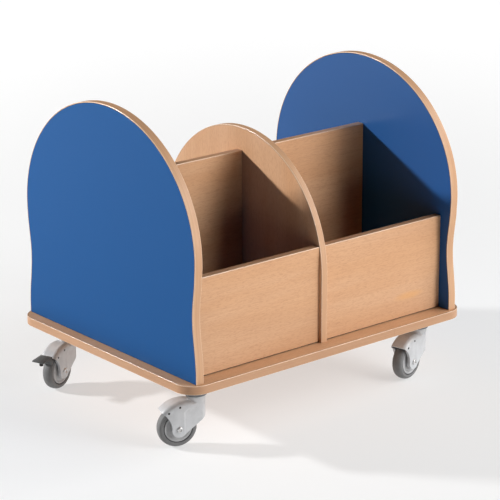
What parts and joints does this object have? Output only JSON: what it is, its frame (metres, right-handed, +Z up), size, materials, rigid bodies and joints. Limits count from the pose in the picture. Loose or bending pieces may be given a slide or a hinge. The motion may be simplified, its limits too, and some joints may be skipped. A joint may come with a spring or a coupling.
{
  "type": "book cart",
  "caption": "Rolling book box with round-topped blue end panels, beech-look browsing bays on both sides of a low partition, and swivel casters with foot brakes.",
  "frame": {"origin": "on the floor under the middle of the base plate", "axes": "+X along the cart towards its right end, -Y out of its front, +Z up"},
  "size_m": [0.8192, 0.61, 0.6874],
  "materials": {
    "beech_board": "satin beech-decor board with fine straight grain",
    "beech_edging": "satin edge band with fine lengthwise grain",
    "blue_laminate": "smooth satin laminate",
    "fork_paint": "satin silver-grey coated steel",
    "hub_plastic": "satin moulded wheel centre",
    "bright_zinc": "bright zinc plating",
    "dark_zinc": "dark passivated steel",
    "grey_rubber": "matt non-marking rubber",
    "black_rubber": "matt rubber",
    "pedal_plastic": "matt moulded pedal"
  },
  "bodies": {
    "root": {"base_plate": "beech_board", "base_plate_edge_band": "beech_edging", "left_end_panel": "blue_laminate", "left_end_panel_edge_band": "beech_edging", "right_end_panel": "blue_laminate", "right_end_panel_edge_band": "beech_edging", "cross_divider": "beech_board", "cross_divider_edge_band": "beech_edging", "left_partition": "beech_board", "left_partition_edge_band": "beech_edging", "left_front_board": "beech_board", "left_front_board_edge_band": "beech_edging", "left_back_board": "beech_board", "left_back_board_edge_band": "beech_edging", "right_partition": "beech_board", "right_partition_edge_band": "beech_edging", "right_front_board": "beech_board", "right_front_board_edge_band": "beech_edging", "right_back_board": "beech_board", "right_back_board_edge_band": "beech_edging", "front_left_top_plate": "dark_zinc", "front_left_swivel_race": "dark_zinc", "front_left_kingpin": "bright_zinc", "back_left_top_plate": "dark_zinc", "back_left_swivel_race": "dark_zinc", "back_left_kingpin": "bright_zinc", "front_right_top_plate": "dark_zinc", "front_right_swivel_race": "dark_zinc", "front_right_kingpin": "bright_zinc", "back_right_top_plate": "dark_zinc", "back_right_swivel_race": "dark_zinc", "back_right_kingpin": "bright_zinc"},
    "front_left_fork": {"front_left_fork": "fork_paint", "front_left_axle_bolt": "bright_zinc", "front_left_axle_nut": "bright_zinc"},
    "front_left_wheel": {"front_left_hub": "hub_plastic", "front_left_tyre": "grey_rubber"},
    "back_left_fork": {"back_left_fork": "fork_paint", "back_left_axle_bolt": "bright_zinc", "back_left_axle_nut": "bright_zinc", "back_left_brake_pin": "bright_zinc"},
    "back_left_wheel": {"back_left_hub": "hub_plastic", "back_left_tyre": "grey_rubber"},
    "back_left_brake": {"back_left_brake_pedal": "pedal_plastic", "back_left_brake_buffer": "black_rubber"},
    "front_right_fork": {"front_right_fork": "fork_paint", "front_right_axle_bolt": "bright_zinc", "front_right_axle_nut": "bright_zinc"},
    "front_right_wheel": {"front_right_hub": "hub_plastic", "front_right_tyre": "grey_rubber"},
    "back_right_fork": {"back_right_fork": "fork_paint", "back_right_axle_bolt": "bright_zinc", "back_right_axle_nut": "bright_zinc", "back_right_brake_pin": "bright_zinc"},
    "back_right_wheel": {"back_right_hub": "hub_plastic", "back_right_tyre": "grey_rubber"},
    "back_right_brake": {"back_right_brake_pedal": "pedal_plastic", "back_right_brake_buffer": "black_rubber"}
  },
  "joints": [
    {"name": "front_left_swivel", "type": "hinge", "parent": "root", "child": "front_left_fork", "pos_m": [-0.3159, -0.2295, 0.1086], "axis": [0, 0, 1], "continuous": true},
    {"name": "front_left_wheel_spin", "type": "hinge", "parent": "front_left_fork", "child": "front_left_wheel", "pos_m": [-0.35599, -0.2157, 0.0427], "axis": [-0.3256, -0.9455, 0], "continuous": true},
    {"name": "back_left_swivel", "type": "hinge", "parent": "root", "child": "back_left_fork", "pos_m": [-0.3159, 0.2295, 0.1086], "axis": [0, 0, 1], "continuous": true},
    {"name": "back_left_wheel_spin", "type": "hinge", "parent": "back_left_fork", "child": "back_left_wheel", "pos_m": [-0.35562, 0.21465, 0.0427], "axis": [0.3502, -0.9367, 0], "continuous": true},
    {"name": "back_left_brake_press", "type": "hinge", "parent": "back_left_fork", "child": "back_left_brake", "pos_m": [-0.3543, 0.21514, 0.0908], "axis": [0.3502, -0.9367, 0], "range_deg": [0, 4]},
    {"name": "front_right_swivel", "type": "hinge", "parent": "root", "child": "front_right_fork", "pos_m": [0.3159, -0.2295, 0.1086], "axis": [0, 0, 1], "continuous": true},
    {"name": "front_right_wheel_spin", "type": "hinge", "parent": "front_right_fork", "child": "front_right_wheel", "pos_m": [0.2745, -0.23868, 0.0427], "axis": [0.2164, -0.9763, 0], "continuous": true},
    {"name": "back_right_swivel", "type": "hinge", "parent": "root", "child": "back_right_fork", "pos_m": [0.3159, 0.2295, 0.1086], "axis": [0, 0, 1], "continuous": true},
    {"name": "back_right_wheel_spin", "type": "hinge", "parent": "back_right_fork", "child": "back_right_wheel", "pos_m": [0.27382, 0.22433, 0.0427], "axis": [0.1219, -0.9925, 0], "continuous": true},
    {"name": "back_right_brake_press", "type": "hinge", "parent": "back_right_fork", "child": "back_right_brake", "pos_m": [0.27521, 0.2245, 0.0908], "axis": [0.1219, -0.9925, 0], "range_deg": [0, 4]}
  ]
}
